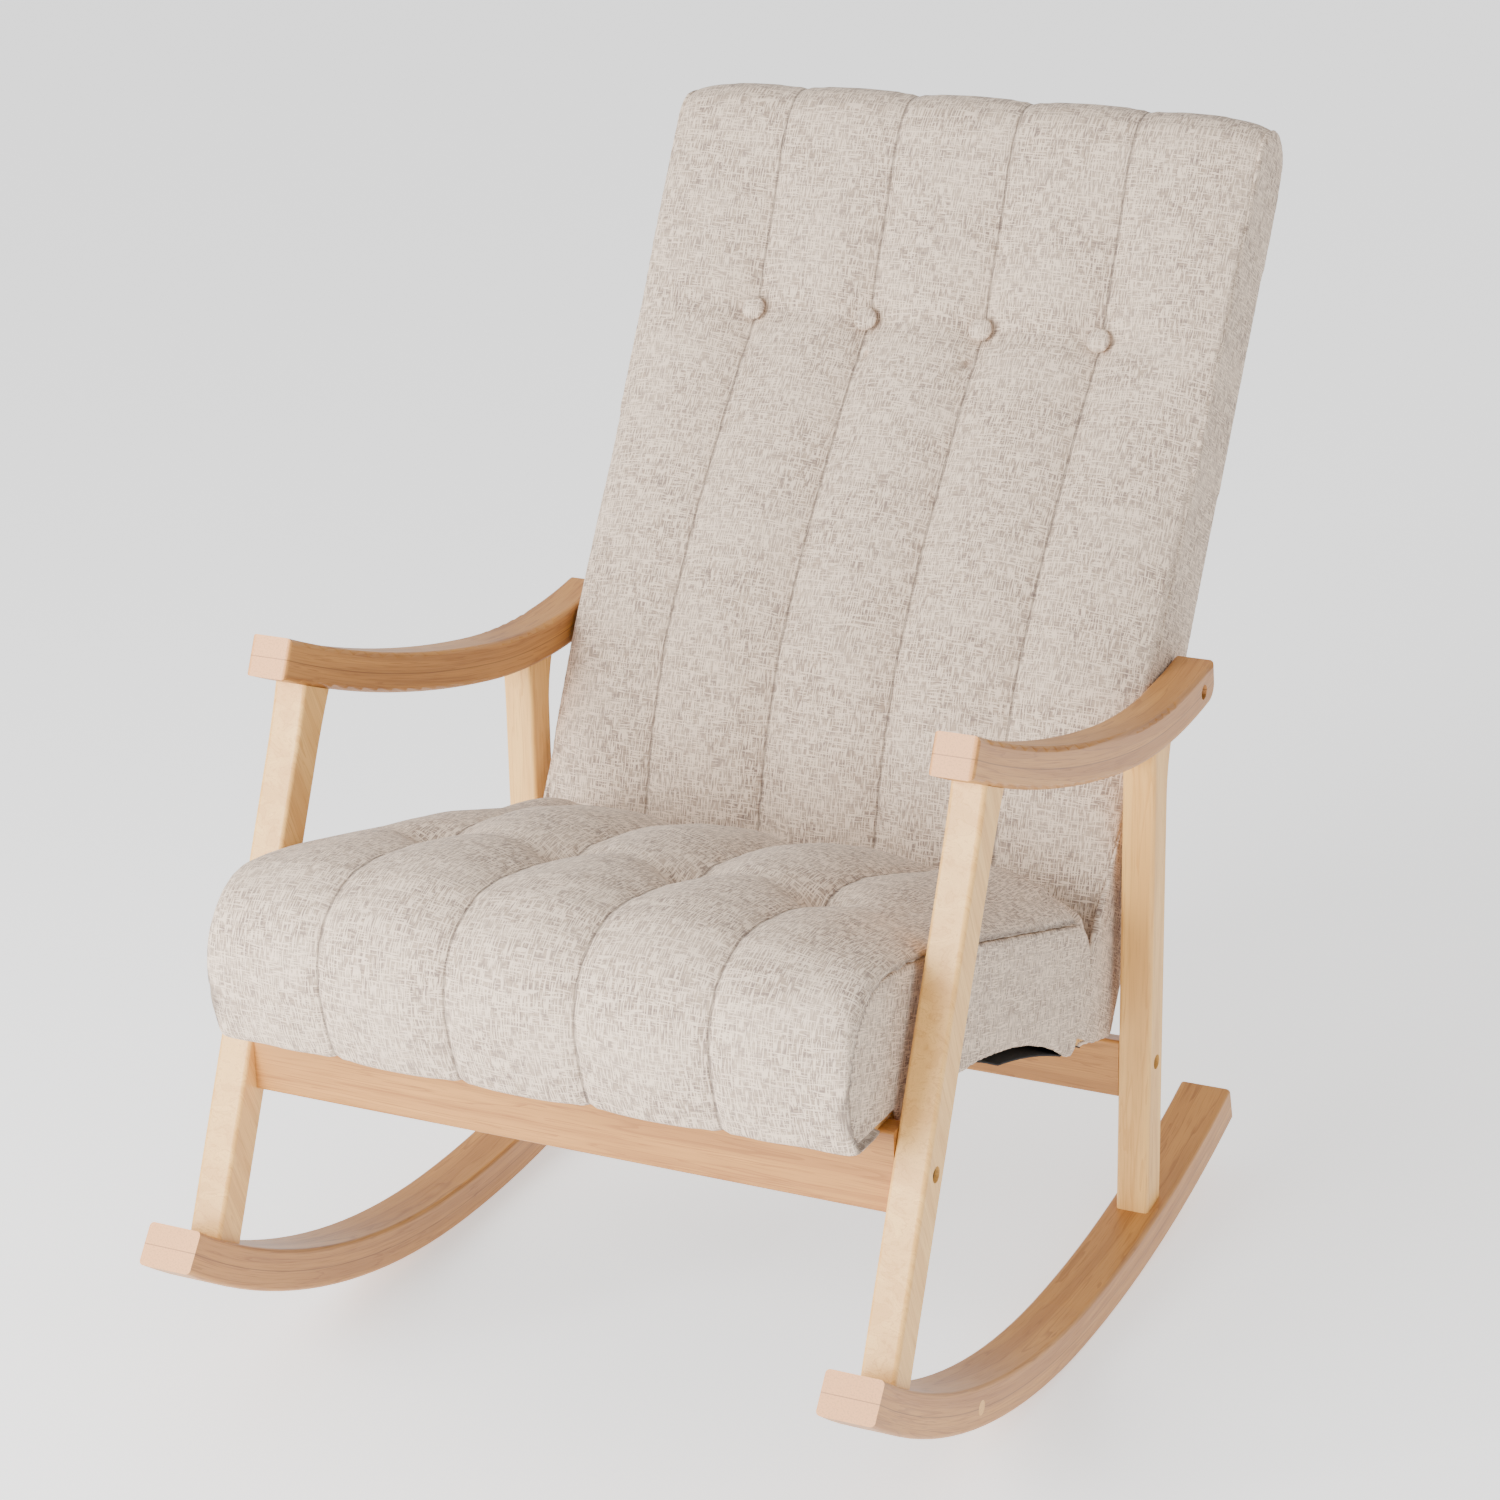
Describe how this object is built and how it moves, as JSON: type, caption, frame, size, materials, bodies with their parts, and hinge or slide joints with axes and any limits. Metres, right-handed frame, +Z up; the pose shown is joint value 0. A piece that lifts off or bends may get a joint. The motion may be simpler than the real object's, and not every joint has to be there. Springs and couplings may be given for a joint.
{
  "type": "rocking chair",
  "caption": "High-back rocking chair with a light wooden frame, curved armrests and rockers, and a channelled, tufted fabric seat and back.",
  "frame": {"origin": "on the floor under the middle of the chair's overall width and depth", "axes": "+X to the sitter's left, +Y to the rear, +Z up; the sitter looks along -Y"},
  "size_m": [0.66, 1.0413, 0.969],
  "materials": {
    "light_wood": "satin",
    "tan_wood": "satin",
    "inner_wood": "matte",
    "upholstery": "matte",
    "lining": "matte",
    "strap": "matte",
    "steel": "satin",
    "zinc": "satin"
  },
  "bodies": {
    "root": {"rocker_left": "tan_wood", "rocker_right": "tan_wood", "armrest_left": "tan_wood", "armrest_right": "tan_wood", "front_rail": "tan_wood", "rear_rail": "tan_wood", "front_leg_left": "light_wood", "front_leg_right": "light_wood", "rear_leg_left": "light_wood", "rear_leg_right": "light_wood", "rocker_plugs": "light_wood", "leg_dowels": "inner_wood", "frame_bolts": "steel", "cross_dowels": "zinc", "seat_side_board_left": "inner_wood", "seat_side_board_right": "inner_wood", "seat_front_rail": "inner_wood", "seat_rear_rail": "inner_wood", "seat_springs": "zinc", "seat_brackets": "steel", "seat_cushion": "upholstery", "seat_side_cover_left": "upholstery", "seat_side_cover_right": "upholstery", "seat_dust_cover": "lining", "back_outer_cover": "upholstery", "back_stile_left": "inner_wood", "back_stile_right": "inner_wood", "back_foot_rail": "inner_wood", "back_top_rail": "inner_wood", "back_middle_rail": "inner_wood", "back_lower_rail": "inner_wood", "back_cushion": "upholstery", "back_buttons": "upholstery", "back_straps": "strap", "tee_nuts": "zinc", "seat_bolts": "steel", "seat_tee_nuts": "zinc"}
  },
  "joints": []
}
